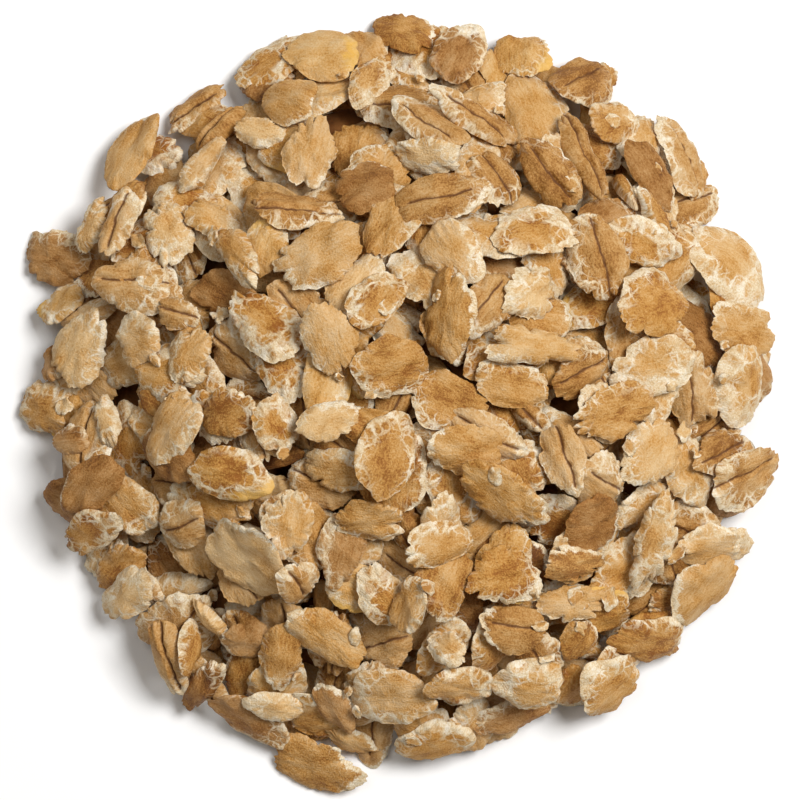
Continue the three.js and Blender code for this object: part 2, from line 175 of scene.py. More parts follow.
class Pile:
    """The pile so far, as the height and the topmost flake of each cell of a square grid."""

    def __init__(self):
        centres = (np.arange(FIELD_CELLS) + 0.5) * CELL - FIELD_REACH
        self.x, self.y = np.meshgrid(centres, centres)
        self.height = np.maximum(0, heap_surface(self.x, self.y) - LOOSE_DEPTH)
        self.topmost = np.full(self.height.shape, -1)
        self.flakes = []

    def around(self, x, y, reach):
        """The cells in the square around a point, as two slices of the grid."""

        def span(v):
            first = math.ceil((v - reach + FIELD_REACH) / CELL - 0.5)
            last = math.floor((v + reach + FIELD_REACH) / CELL - 0.5)
            return slice(first, last + 1)

        return span(y), span(x)

    def room_at(self, x, y):
        """How far the pile lies under the heap's surface near a point."""
        return heap_surface(x, y) - self.height[self.around(x, y, ROOM_REACH)].mean()

    def under(self, flake, slope):
        """The cells under a flake: their place in the grid, their offsets, and how far out."""
        along, across, _ = axes_of(flake["turn"], slope)
        rows, columns = self.around(flake["x"], flake["y"], flake["length"] / 2)
        x = self.x[rows, columns] - flake["x"]
        y = self.y[rows, columns] - flake["y"]
        offset = np.stack([x, y, x * slope[0] + y * slope[1]], axis=-1)
        out = (offset @ along / (flake["length"] / 2)) ** 2
        out = out + (offset @ across / (flake["width"] / 2)) ** 2
        row, column = np.nonzero(out < 1)
        inside = (row, column)
        return (row + rows.start, column + columns.start), x[inside], y[inside], out[inside]

    def resting_slope(self, flake):
        """The slope at which a flake's middle is lowest, which is how it comes to rest."""
        angles = 2 * math.pi * np.arange(SLOPE_DIRECTIONS) / SLOPE_DIRECTIONS
        directions = np.stack([np.cos(angles), np.sin(angles)], axis=1)
        slope = np.zeros(2)
        for _ in range(SETTLING_ROUNDS):
            cells, x, y, _ = self.under(flake, slope)
            height = self.height[cells]
            held = (height - slope[0] * x - slope[1] * y).max()
            step = FIRST_SLOPE_STEP
            while step > LAST_SLOPE_STEP:
                tried = slope + step * directions
                holds = (height - tried[:, :1] * x - tried[:, 1:] * y).max(axis=1)
                holds[np.hypot(tried[:, 0], tried[:, 1]) > STEEPEST] = np.inf
                best = holds.argmin()
                if holds[best] < held - LEAST_FALL:
                    held = holds[best]
                    slope = tried[best]
                else:
                    step /= 2
        return slope

    def lay(self, **flake):
        """Drops a flake: it gets its slope and the height of its underside's middle."""
        slope = self.resting_slope(flake)
        lean = np.array([math.cos(flake["lean"]), math.sin(flake["lean"])])
        slope = slope + MOST_PROPPED * flake["propped"] * lean
        slope = slope * min(1, STEEPEST / np.hypot(*slope))
        cells, x, y, out = self.under(flake, slope)
        rise = slope[0] * x + slope[1] * y
        z = (self.height[cells] - rise).max() - PRESSED_IN
        upright = flake["thickness"] * math.hypot(1, *slope)
        top = z + rise + upright * (1 - THINNER_RIM * out)
        higher = top > self.height[cells]
        raised = (cells[0][higher], cells[1][higher])
        self.height[raised] = top[higher]
        self.topmost[raised] = len(self.flakes)
        self.flakes.append({**flake, "slope": slope, "z": z})


def roomiest(pile, random):
    """The place with the most room of a few that are tried at random."""
    best = (-math.inf, 0, 0)
    for _ in range(PLACES_TRIED):
        radius = (HEAP_RADIUS - FOOT_ROOM) * math.sqrt(next(random))
        angle = 2 * math.pi * next(random)
        x = HEAP_PEAK[0] + radius * math.cos(angle)
        y = HEAP_PEAK[1] + radius * math.sin(angle)
        best = max(best, (pile.room_at(x, y), x, y), key=lambda place: place[0])
    return best


def unevenness_from(random):
    """What differs from flake to flake: the form of its edge, and how it is propped."""
    return {
        "unevenness": next(random),
        "lean": 2 * math.pi * next(random),
        "propped": next(random),
    }


def pour_flakes():
    """The pile with all its flakes, each with the count of cells that it is the top of."""
    random = make_random(SEED)
    pile = Pile()
    while len(pile.flakes) < MOST_FLAKES:
        room, x, y = roomiest(pile, random)
        if room < LOW_ENOUGH:
            break
        kind = BROAD if next(random) < BROAD["share"] else NARROW
        length = between(kind["length"], next(random))
        width = length * between(kind["width"], next(random))
        thickness = between(kind["thickness"], next(random))
        turn = 2 * math.pi * next(random)
        pile.lay(x=x, y=y, turn=turn, length=length, width=width, thickness=thickness,
                 look=None, **unevenness_from(random))
    for x, y, degrees, length, width, look in TOP_FLAKES:
        kind = NARROW if width / length < NARROW["width"][1] else BROAD
        thickness = between(kind["thickness"], next(random))
        pile.lay(x=x, y=y, turn=math.radians(degrees), length=length, width=width,
                 thickness=thickness, look=look, **unevenness_from(random))
    seen = np.bincount(pile.topmost[pile.topmost >= 0], minlength=len(pile.flakes))
    for flake, count in zip(pile.flakes, seen):
        flake["seen"] = count
    return pile


# ---------------------------------------------------------------------------- the flakes' form

# The nets that the flakes are made from: how far out each ring lies, and the sides of a ring.
FINE_NET = {
    "top": (0.16, 0.34, 0.5, 0.64, 0.76, 0.86, 0.93, 0.97, 0.992),
    "bottom": (0.97, 0.55),
    "sides": 84,
}
PLAIN_NET = {"top": (0.3, 0.6, 0.82, 0.95), "bottom": (0.7,), "sides": 36}
SEEN_WELL = 14  # cells of the pile's top that a flake has to hold to get the fine net

FLOOR_GAP = 0.02  # no flake is nearer to the floor

# A flake's edge, in shares of its half length and half width.
UNEVEN_FROM = 0.2  # nearer to the middle, the flake's form is a plain oval's
LOBES = ((2, 1, 0.05), (3, 2, 0.05), (5, 3, 0.03))  # waves round it, turns by unevenness, size
RAGGEDNESS = (0.3, 1.3)  # against its kind's
CHIPPED_SIDES = 9
CHIP_SHIFT = 0.35  # of the way to the next chip
CHIPPED_AWAY = (-0.05, 0.15)
CHIP_REACH = 0.3  # the least cosine of the angle from a chip's middle
MOST_REACH = 1.03
FRAYS = ((13, 0.009), (19, 0.009), (31, 0.008))  # waves round it, size
NOTCHES = 11
NOTCH_ROOT = (0, 0.5)  # the square root of how deep a notch is, so that most are shallow
NOTCH_WIDTH = (0.05, 0.16)  # in radians
TEETH = 0.042
TOOTH_SIZE = (0.4, 1)

# A flake's section.
RIM_THICKNESS = 0.3
RIM_VARIES = (0.7, 1.4)
RIM_ROUNDNESS = 18
CROWN_ROUNDNESS = 3.2
CROWN_SHOULDER = 0.8

# A flake's relief: how high each kind is, and how long its waves are.
LUMPS = {"height": 0.16, "lengths": (2.4, 5), "at_middle": 0.4}
FOLDS = {"height": 0.2, "lengths": (3, 8)}
WRINKLES = {"height": 0.055, "lengths": (0.9, 1.9), "stretch": 0.22}
CRUMBLE = {"height": 0.09, "lengths": (0.7, 1.4), "from_to": (0.4, 0.9)}

# A flake's crease: its way along the flake, its ends, and the groove and the swelling round it.
WINDING = ((0.16, (4, 10), 3), (0.05, (0.9, 2), 4))  # width, waves' lengths, waves
CREASE_OFF_MIDDLE = 0.1  # of the flake's width
CREASE_BEND = 0.012
CREASE_END = (0.86, 1.12)  # of the flake's half length
CREASE_FADES = 0.25
CREASE_DEPTH = (0.5, 1.15)  # against its kind's
GROOVE_WIDTH = 0.3
SWELLING = 0.55
SWELLING_WIDTH = 1.4

# How a flake is bent along it, across it and askew, and how its edge is wavy.
BEND_ALONG = (-0.022, 0.016)
BEND_ACROSS = (-0.055, 0.035)
TWIST = 0.03
EDGE_WAVES = ((3, 1, 0.3), (5, 2, 0.18))  # waves round it, turns by their phase, height

GRAINS_APART = 40  # flakes take their patterns from layers of the noise up to so far apart

# The kinds of look: the piece's name, its share of the flakes that the photo doesn't settle, how
# deep its crease is, how ragged its edge is, and how its bran is: the share of cracks and of bare
# pale patches, and the colours of the bran from dark to light.
LOOKS = {
    "p": {"piece": "plain_flakes", "share": 0.25, "crease": 0, "rag": 0.9, "cracks": 0.6,
          "bare": 0.1, "bran": ((138, 83, 24), (185, 133, 63), (203, 159, 100), (217, 185, 140))},
    "c": {"piece": "creased_flakes", "share": 0.28, "crease": 0.7, "rag": 0.8, "cracks": 0.5,
          "bare": 0.1, "bran": ((130, 81, 24), (177, 127, 63), (198, 155, 98), (213, 182, 138))},
    "k": {"piece": "cracked_flakes", "share": 0.22, "crease": 0, "rag": 1.1, "cracks": 1.3,
          "bare": 0.35, "bran": ((144, 85, 22), (188, 134, 60), (205, 160, 99), (219, 187, 140))},
    "w": {"piece": "pale_flakes", "share": 0.08, "crease": 0, "rag": 1.1, "cracks": 1,
          "bare": 0.5, "bran": ((150, 97, 38), (194, 144, 77), (212, 173, 118), (227, 198, 152))},
    "g": {"piece": "golden_flakes", "share": 0.08, "crease": 0, "rag": 0.8, "cracks": 0.6,
          "bare": 0.15, "bran": ((144, 87, 24), (190, 137, 63), (207, 162, 99), (220, 189, 140))},
    "b": {"piece": "crumbs", "share": 0, "crease": 0, "rag": 1, "cracks": 1,
          "bare": 0.7, "bran": ((176, 122, 58), (196, 147, 82), (210, 171, 116), (225, 201, 159))},
    # The dark look is partly darker bran and partly painted shade: flakes that lie in shade get
    # darker browns.
    "d": {"piece": "dark_flakes", "share": 0.09, "crease": 0, "rag": 0.8, "cracks": 0.4,
          "bare": 0.05, "bran": ((102, 57, 16), (149, 99, 41), (175, 128, 72), (196, 156, 107))},
}


class Net:
    """A closed round net: rings from the top's middle out to the rim and back under it."""

    def __init__(self, top, bottom, sides):
        rings = [*top, 1, *bottom]
        upper = len(top) + 1
        angle = np.tile(2 * math.pi * np.arange(sides) / sides, len(rings))
        self.sides = sides
        self.sector = np.concatenate([[0], np.tile(np.arange(sides), len(rings)), [0]])
        self.out = np.concatenate([[0], np.repeat(rings, sides), [0]])
        self.angle = np.concatenate([[0], angle, [0]])
        side = np.repeat(np.where(np.arange(len(rings)) < upper - 1, 1, -1), sides)
        side[(upper - 1) * sides : upper * sides] = 0
        self.side = np.concatenate([[1], side, [-1]])
        here = np.arange(sides)
        after = (here + 1) % sides
        last = 1 + (len(rings) - 1) * sides
        faces = [(0, 1 + j, 1 + k) for j, k in zip(here, after)]
        for ring in range(len(rings) - 1):
            inner = 1 + ring * sides
            outer = inner + sides
            faces += [(inner + j, outer + j, outer + k, inner + k) for j, k in zip(here, after)]
        faces += [(last + j, last + sides, last + k) for j, k in zip(here, after)]
        self.faces = faces
        self.upper_faces = sides * upper


def ripples(random, u, v, lengths, waves=6):
    """An uneven smooth field over each flake, mostly from -1 to 1: waves at random angles."""
    shape = (len(u), 1, waves)
    angle = random.uniform(0, 2 * math.pi, shape)
    number = 2 * math.pi / random.uniform(*lengths, shape)
    phase = random.uniform(0, 2 * math.pi, shape)
    place = u[..., None] * np.cos(angle) + v[..., None] * np.sin(angle)
    return np.sin(number * place + phase).sum(axis=-1) / math.sqrt(waves)


def ragged_edge(random, unevenness, net, rag):
    """How far the edge is from the middle at an angle, as a share of a plain oval's."""

    def draw(low, high):
        return random.uniform(low, high, unevenness.shape)

    def away_from(where):
        return np.abs((angle - where + math.pi) % (2 * math.pi) - math.pi)

    angle = net.angle
    rag = rag * draw(*RAGGEDNESS)
    phase = 2 * math.pi * unevenness
    reach = 1 + sum(size * np.cos(waves * angle + turns * phase) for waves, turns, size in LOBES)
    chipped = np.full((len(unevenness), len(angle)), np.inf)
    for side in range(CHIPPED_SIDES):
        where = 2 * math.pi * (side + draw(-CHIP_SHIFT, CHIP_SHIFT)) / CHIPPED_SIDES
        far = 1 - draw(*CHIPPED_AWAY) * rag
        chipped = np.minimum(chipped, far / np.maximum(np.cos(away_from(where)), CHIP_REACH))
    reach = reach * np.minimum(chipped, MOST_REACH)
    for waves, size in FRAYS:
        reach = reach + rag * size * np.cos(waves * angle + draw(0, 2 * math.pi))
    for _ in range(NOTCHES):
        deep = draw(*NOTCH_ROOT) ** 2 * rag
        notch = np.maximum(0, 1 - away_from(draw(0, 2 * math.pi)) / draw(*NOTCH_WIDTH))
        reach = reach - deep * notch
    teeth = random.uniform(-1, 1, (len(unevenness), net.sides)) * draw(*TOOTH_SIZE)
    return reach + TEETH * rag * teeth[:, net.sector]


def smooth_step(low, high, value):
    share = np.clip((value - low) / (high - low), 0, 1)
    return share * share * (3 - 2 * share)


def relief(random, u, v, out, rag):
    """The lumps, folds, wrinkles and crumbling rim of the flakes' tops."""
    lumps = LUMPS["height"] * ripples(random, u, v, LUMPS["lengths"])
    lumps = lumps * (LUMPS["at_middle"] + (1 - LUMPS["at_middle"]) * out)
    folds = FOLDS["height"] * np.abs(ripples(random, u, v, FOLDS["lengths"]))
    wrinkles = ripples(random, WRINKLES["stretch"] * u, v, WRINKLES["lengths"])
    crumble = rag * ripples(random, u, v, CRUMBLE["lengths"])
    crumble = crumble * smooth_step(*CRUMBLE["from_to"], out)
    return lumps - folds + WRINKLES["height"] * wrinkles + CRUMBLE["height"] * crumble


def flake_shapes(random, batch, net, look):
    """The vertices of a batch of flakes in the pile, with what their material reads there."""

    def column(name):
        return np.array([flake[name] for flake in batch], dtype=float)[:, None]

    length, width, thickness = column("length"), column("width"), column("thickness")
    half_length, half_width = length / 2, width / 2
    angle, out = net.angle, net.out
    reach = ragged_edge(random, column("unevenness"), net, look["rag"])
    reach = 1 + (reach - 1) * smooth_step(UNEVEN_FROM, 1, out)
    u = half_length * reach * out * np.cos(angle)
    v = half_width * reach * out * np.sin(angle)

    def uniform(low, high):
        return random.uniform(low, high, length.shape)

    edge_round = np.sqrt(1 - out**RIM_ROUNDNESS)
    crown = (1 - out**CROWN_ROUNDNESS) ** CROWN_SHOULDER
    rim = RIM_THICKNESS * uniform(*RIM_VARIES)
    top = rim / 2 * (1 + edge_round) + (thickness - rim) * crown
    bottom = rim / 2 * (1 - edge_round)
    top = top + relief(random, u, v, out, look["rag"])

    from_crease = v
    for winding_width, lengths, waves in WINDING:
        winding = ripples(random, u, 0 * v, lengths, waves)
        from_crease = from_crease - winding_width * winding
    from_crease = from_crease - uniform(-CREASE_OFF_MIDDLE, CREASE_OFF_MIDDLE) * width
    crease_bend = uniform(-CREASE_BEND, CREASE_BEND)
    from_crease = from_crease - crease_bend * (u**2 - half_length**2 / 2)
    crease_end = uniform(*CREASE_END)
    past_middle = np.abs(u) / half_length
    crease_span = smooth_step(crease_end, crease_end - CREASE_FADES, past_middle)
    groove = np.exp(-((from_crease / GROOVE_WIDTH) ** 2))
    groove = groove - SWELLING * np.exp(-((from_crease / SWELLING_WIDTH) ** 2))
    top = top - look["crease"] * uniform(*CREASE_DEPTH) * crease_span * groove
    top = np.maximum(top, bottom + rim / 2 * edge_round)

    bend = uniform(*BEND_ALONG) * u**2 + uniform(*BEND_ACROSS) * v**2
    bend = bend + uniform(-TWIST, TWIST) * u * v
    wave_phase = uniform(0, 2 * math.pi)
    for waves, turns, height in EDGE_WAVES:
        wave = np.sin(waves * angle + turns * wave_phase) * out**3
        bend = bend + height * uniform(0, 1) * wave
    w = np.where(net.side > 0, top, np.where(net.side < 0, bottom, rim / 2)) + bend

    axes = np.array([axes_of(flake["turn"], flake["slope"]) for flake in batch])
    places = np.einsum("nvk,nkc->nvc", np.stack([u, v, w], axis=-1), axes)
    middle = np.array([(flake["x"], flake["y"], flake["z"]) for flake in batch])
    places = places + middle[:, None, :] - np.array([*HEAP_MIDDLE, 0])
    sunk = FLOOR_GAP - places[..., 2].min(axis=1, keepdims=True)
    places[..., 2] += np.maximum(sunk, 0)

    draws = random.uniform(0, 1, (len(batch), 1, 3))
    apart = np.broadcast_to(uniform(0, GRAINS_APART), u.shape)
    readings = {
        "grain": np.stack([u, v, apart], axis=-1),
        "draw": np.broadcast_to(draws, places.shape),
        "out": np.broadcast_to(out, u.shape),
        "side": out * np.cos(angle - uniform(0, 2 * math.pi)),
        "crease": np.broadcast_to(from_crease, u.shape),
        "crease_end": 1 - crease_span,
    }
    return places, readings


CHART_RADIUS = 0.47  # of a flake's side in its cell of the texture's grid


def flake_piece(name, groups, random, look):
    """One mesh of many flakes. Each group is a batch and the net that its flakes are made from."""
    groups = [(batch, net) for batch, net in groups if batch]
    places, readings, corners, sizes, charts = [], [], [], [], []
    start = 0
    cells = math.ceil(math.sqrt(2 * sum(len(batch) for batch, _ in groups)))
    chart = 0
    for batch, net in groups:
        shape, reading = flake_shapes(random, batch, net, look)
        places.append(shape.reshape(-1, 3))
        flat_reading = {key: value.reshape(-1, *value.shape[2:]) for key, value in reading.items()}
        readings.append(flat_reading)
        flat = np.concatenate([np.array(face) for face in net.faces])
        size = np.array([len(face) for face in net.faces])
        lower = np.repeat(np.arange(len(net.faces)) >= net.upper_faces, size)
        spot = np.stack([net.out * np.cos(net.angle), net.out * np.sin(net.angle)], axis=1)
        spot = 0.5 + CHART_RADIUS * spot
        for _ in batch:
            corners.append(flat + start)
            sizes.append(size)
            cell = chart + lower
            corner = np.stack([cell % cells, cell // cells], axis=1)
            charts.append((corner + spot[flat]) / cells)
            start += len(net.out)
            chart += 2
    mesh = make_mesh(name, np.concatenate(places), np.concatenate(corners), np.concatenate(sizes))
    layer = mesh.uv_layers.new(name="OFBake")
    layer.data.foreach_set("uv", np.concatenate(charts).ravel())
    for key in readings[0]:
        values = np.concatenate([reading[key] for reading in readings])
        add_reading(mesh, key, values)
    return add_object(name, mesh)


def make_mesh(name, places, corners, sizes):
    """A mesh of smooth faces, from its vertices in millimetres and its faces' corners."""
    mesh = bpy.data.meshes.new(name)
    mesh.vertices.add(len(places))
    mesh.vertices.foreach_set("co", (places * METRES).ravel())
    mesh.loops.add(len(corners))
    mesh.loops.foreach_set("vertex_index", corners)
    mesh.polygons.add(len(sizes))
    mesh.polygons.foreach_set("loop_start", np.concatenate([[0], np.cumsum(sizes)[:-1]]))
    mesh.polygons.foreach_set("use_smooth", np.ones(len(sizes), dtype=bool))
    mesh.update(calc_edges=True)
    return mesh


def add_reading(mesh, name, values):
    """Numbers at the vertices that a material reads."""
    if values.ndim == 2:
        layer = mesh.attributes.new(name, "FLOAT_VECTOR", "POINT")
        layer.data.foreach_set("vector", values.ravel())
    else:
        layer = mesh.attributes.new(name, "FLOAT", "POINT")
        layer.data.foreach_set("value", values)


def add_object(name, mesh):
    piece = bpy.data.objects.new(name, mesh)
    bpy.context.scene.collection.objects.link(piece)
    return piece


# ---------------------------------------------------------------------------- materials


def paint(red, green, blue):
    """A colour as seen on a screen, 0 to 255, as the linear values that a shader takes."""

    def linear(value):
        share = value / 255
        return share / 12.92 if share <= 0.04045 else ((share + 0.055) / 1.055) ** 2.4

    return (linear(red), linear(green), linear(blue), 1)


class Shader:
    """A material, with short calls that add and link its nodes."""

    def __init__(self, name):
        self.material = bpy.data.materials.new(name)
        self.material.use_nodes = True
        self.tree = self.material.node_tree
        self.surface = self.tree.nodes["Principled BSDF"]

    def node(self, kind, inputs=(), **settings):
        node = self.tree.nodes.new(kind)
        for key, value in settings.items():
            setattr(node, key, value)
        for key, value in dict(inputs).items():
            self.put(node.inputs[key], value)
        return node

    def put(self, socket, value):
        if isinstance(value, bpy.types.NodeSocket):
            self.tree.links.new(value, socket)
        else:
            socket.default_value = value

    def reading(self, name, output="Fac"):
        return self.node("ShaderNodeAttribute", attribute_name=name).outputs[output]

    def math(self, operation, *values):
        return self.node("ShaderNodeMath", enumerate(values), operation=operation).outputs[0]

    def vector(self, operation, *values):
        return self.node("ShaderNodeVectorMath", enumerate(values), operation=operation).outputs[0]

    def noise(self, place, scale, detail, roughness=0.55, output="Fac"):
        inputs = {"Vector": place, "Scale": scale, "Detail": detail, "Roughness": roughness}
        return self.node("ShaderNodeTexNoise", inputs).outputs[output]

    def to_border(self, place, scale):
        """The distance from the nearest border between cells, in cells."""
        inputs = {"Vector": place, "Scale": scale}
        return self.node("ShaderNodeTexVoronoi", inputs, feature="DISTANCE_TO_EDGE").outputs[0]

    def step(self, value, low, high, start=0, end=1):
        """Start where a value is under low, end where it is over high, and smooth between them."""
        limits = {"From Min": low, "From Max": high, "To Min": start, "To Max": end}
        inputs = {"Value": value, **limits}
        node = self.node("ShaderNodeMapRange", inputs, interpolation_type="SMOOTHSTEP")
        return node.outputs[0]

    def mix(self, share, first, second):
        node = self.node("ShaderNodeMix", {0: share, 6: first, 7: second}, data_type="RGBA")
        return node.outputs[2]

    def ramp(self, value, stops):
        node = self.node("ShaderNodeValToRGB", {"Fac": value})
        elements = node.color_ramp.elements
        stops = list(stops)
        while len(elements) < len(stops):
            elements.new(1)
        for element, (position, colour) in zip(elements, stops):
            element.position = position
            element.color = colour
        return node.outputs[0]

    def bump(self, height, depth):
        """Relief of so many millimetres from a height of 0 to 1."""
        inputs = {"Height": height, "Distance": depth * METRES, "Strength": 1}
        self.put(self.surface.inputs["Normal"], self.node("ShaderNodeBump", inputs).outputs[0])

    def finish(self, colour, roughness, specular):
        """The surface's colour and gloss."""
        self.put(self.surface.inputs["Base Color"], colour)
        self.surface.inputs["Roughness"].default_value = roughness
        self.surface.inputs["Specular IOR Level"].default_value = specular
        return self.material


# The bran's noises, on the flake's own millimetres: along it, across it, and apart from others.
STREAKS_ALONG = (1, 3.2, 1)
PATCHES_ALONG = (0.3, 0.42, 1)
STREAKS = {"scale": 1, "detail": 4, "roughness": 0.7}
PATCHES = {"scale": 1, "detail": 1}
SPECKS = {"scale": 4.5, "detail": 2, "roughness": 0.7}
BENDING = {"scale": 0.6, "detail": 2}  # of the net of cracks
BENT_BY = (1.8, 1.8, 0)
RIM_PATCHES = {"scale": 0.6, "detail": 4, "roughness": 0.6}

# The bran's tone: what each noise adds, and where the ramp of its colours has its stops.
STREAKS_TONE = 0.3
PATCHES_TONE = 0.36
SPECKS_TONE = 0.34
FLAKE_TONE = 0.15
BRAN_STOPS = (0.36, 0.46, 0.55, 0.68)

# The cracks: a net of cells, a finer one, and how wide their borders open towards the rim. The way
# out to the rim is 0 at a flake's middle and 1 at its rim, and more on its paler side.
PALER_SIDE = 0.42
CRACKED_FROM = 0.15
CRACKED_FULLY = 1.25
BARE_CRACKED_EARLIER = 0.35
COARSE_NET = {"cells": 0.42, "solid": 0.3, "gone": 1.5, "paleness": 1}
FINER_NET = {"cells": 0.9, "solid": 0.2, "gone": 1.4, "paleness": 0.65}
CRACK_WIDTH = 0.17
LEAST_WIDTH = 0.01
CRACK_SPREAD = (0.1, 1.3)  # from the flake with the fewest cracks to the one with the most
CRACKS_OPEN = (0.015, 0.06)

# The flour that lies bare along the rim: how far out it starts, and how uneven its border is.
BARE_FROM = 1.88
BARE_KIND_EARLIER = 0.26
BARE_DRAW = 0.18
BARE_KIND_DRAW = 0.3
BARE_PATCHES = 0.8
BARE_SPECKS = 0.25
BARE_BORDER = (-0.05, 0.09)
FLOUR_SPECKS = 0.5
FLOUR_STOPS = (
    (0.38, paint(202, 168, 120)), (0.5, paint(224, 203, 166)), (0.62, paint(238, 228, 208)),
)

GERM = {"colour": paint(222, 172, 76), "share": 0.85, "patches": 0.9, "from_to": (0.98, 1.3)}
# The crease's dark line is painted shade in its groove, wavering with the streaks.
CREASE_SHADE = {"colour": paint(96, 56, 24), "share": 0.92, "streaks": 0.34, "from_to": (0.2, 0.42)}

BRAN_RELIEF = 0.3
STREAKS_RELIEF = 0.45
SPECKS_RELIEF = 0.55
BRAN_ROUGHNESS = 0.68
BRAN_SPECULAR = 0.35


def crack_net(shader, place, width, net):
    """The borders of a net of cells, as wide as it says at each place."""
    to_border = shader.to_border(place, net["cells"])
    to_crack = shader.math("DIVIDE", to_border, shader.math("ADD", width, LEAST_WIDTH))
    return shader.step(to_crack, net["solid"], net["gone"], net["paleness"], 0)


def bran_material(name, look):
    """Bran with a fine grain along the flake, and pale cracks and bare patches towards its rim. On
    creased flakes, a dark line of painted shade runs along the crease.
    """
    shader = Shader(name)
    grain = shader.reading("grain", "Vector")
    side = shader.reading("side")
    draws = shader.node("ShaderNodeSeparateXYZ", {0: shader.reading("draw", "Vector")}).outputs
    shade_draw, crack_draw, bare_draw = draws

    streaks = shader.noise(shader.vector("MULTIPLY", grain, STREAKS_ALONG), **STREAKS)
    patches = shader.noise(shader.vector("MULTIPLY", grain, PATCHES_ALONG), **PATCHES)
    specks = shader.noise(grain, **SPECKS)
    tone = shader.math("MULTIPLY", patches, PATCHES_TONE)
    tone = shader.math("MULTIPLY_ADD", streaks, STREAKS_TONE, tone)
    tone = shader.math("MULTIPLY_ADD", specks, SPECKS_TONE, tone)
    shade = shader.math("SUBTRACT", shade_draw, 0.5)
    tone = shader.math("MULTIPLY_ADD", shade, FLAKE_TONE, tone)
    bran = shader.ramp(tone, zip(BRAN_STOPS, (paint(*colour) for colour in look["bran"])))

    bend = shader.noise(grain, output="Color", **BENDING)
    bent = shader.vector("MULTIPLY_ADD", bend, BENT_BY, grain)
    way_out = shader.math("MULTIPLY_ADD", side, PALER_SIDE, shader.reading("out"))
    cracked_from = CRACKED_FROM - BARE_CRACKED_EARLIER * look["bare"]
    towards_rim = shader.step(way_out, cracked_from, CRACKED_FULLY)
    fewest, most = CRACK_SPREAD
    spread = shader.math("MULTIPLY_ADD", crack_draw, most - fewest, fewest)
    spread = shader.math("MULTIPLY", spread, CRACK_WIDTH * look["cracks"])
    width = shader.math("MULTIPLY", towards_rim, spread)
    coarse = crack_net(shader, bent, width, COARSE_NET)
    finer = crack_net(shader, bent, width, FINER_NET)
    cracks = shader.math("MAXIMUM", coarse, finer)
    cracks = shader.math("MULTIPLY", cracks, shader.step(width, *CRACKS_OPEN))

    rim_patches = shader.noise(bent, **RIM_PATCHES)
    uneven_way = shader.math("MULTIPLY_ADD", rim_patches, BARE_PATCHES, way_out)
    uneven_way = shader.math("MULTIPLY_ADD", specks, BARE_SPECKS, uneven_way)
    latest = BARE_FROM - BARE_KIND_EARLIER * look["bare"]
    earlier = BARE_DRAW + BARE_KIND_DRAW * look["bare"]
    bare_from = shader.math("MULTIPLY_ADD", bare_draw, -earlier, latest)
    bare = shader.step(shader.math("SUBTRACT", uneven_way, bare_from), *BARE_BORDER)
    pale = shader.math("MAXIMUM", cracks, bare)

    floury = shader.math("MULTIPLY", rim_patches, 1 - FLOUR_SPECKS)
    floury = shader.math("MULTIPLY_ADD", specks, FLOUR_SPECKS, floury)
    colour = shader.mix(pale, bran, shader.ramp(floury, FLOUR_STOPS))
    if look["piece"] == "golden_flakes":
        way_to_germ = shader.math("MULTIPLY_ADD", rim_patches, GERM["patches"], side)
        germ = shader.step(way_to_germ, *GERM["from_to"], 0, GERM["share"])
        colour = shader.mix(germ, colour, GERM["colour"])
    # Painted shade: a dark line along the crease of creased flakes.
    if look["crease"]:
        from_crease = shader.math("ABSOLUTE", shader.reading("crease"))
        from_crease = shader.math("ADD", from_crease, shader.reading("crease_end"))
        from_crease = shader.math("MULTIPLY_ADD", streaks, CREASE_SHADE["streaks"], from_crease)
        crease = shader.step(from_crease, *CREASE_SHADE["from_to"], CREASE_SHADE["share"], 0)
        colour = shader.mix(crease, colour, CREASE_SHADE["colour"])

    height = shader.math("MULTIPLY", specks, SPECKS_RELIEF)
    height = shader.math("MULTIPLY_ADD", streaks, STREAKS_RELIEF, height)
    shader.bump(height, BRAN_RELIEF)
    return shader.finish(colour, BRAN_ROUGHNESS, BRAN_SPECULAR)


CORE_NOISE = {"scale": 260, "detail": 4, "roughness": 0.6}
# Painted shade: the mound's browns are darker than the flakes' bran, as bran lying in deep shade
# looks, so the gaps between the flakes look dark.
CORE_SHADE_STOPS = ((0.35, paint(92, 53, 22)), (0.65, paint(142, 92, 46)))
CORE_RELIEF = 0.5
CORE_ROUGHNESS = 0.85
CORE_SPECULAR = 0.2


def core_material():
    """Bran darkened with painted shade, for the mound that shows deep between the flakes."""
    shader = Shader("painted_shade_bran")
    place = shader.node("ShaderNodeTexCoord").outputs["Object"]
    tone = shader.noise(place, **CORE_NOISE)
    shader.bump(tone, CORE_RELIEF)
    return shader.finish(shader.ramp(tone, CORE_SHADE_STOPS), CORE_ROUGHNESS, CORE_SPECULAR)


# ---------------------------------------------------------------------------- the pieces

CORE_NET = {"top": tuple(ring / 40 for ring in range(1, 40)), "bottom": (0.5,), "sides": 120}
CORE_DEPTH = 7.5  # the mound inside the heap is this far under the heap's surface
CORE_FOOT_ROOM = 3
CORE_STEP = 0.1
CORE_LUMPS = {"height": 0.5, "lengths": (3, 7), "waves": 14}
CORE_LEAST_HEIGHT = 0.3


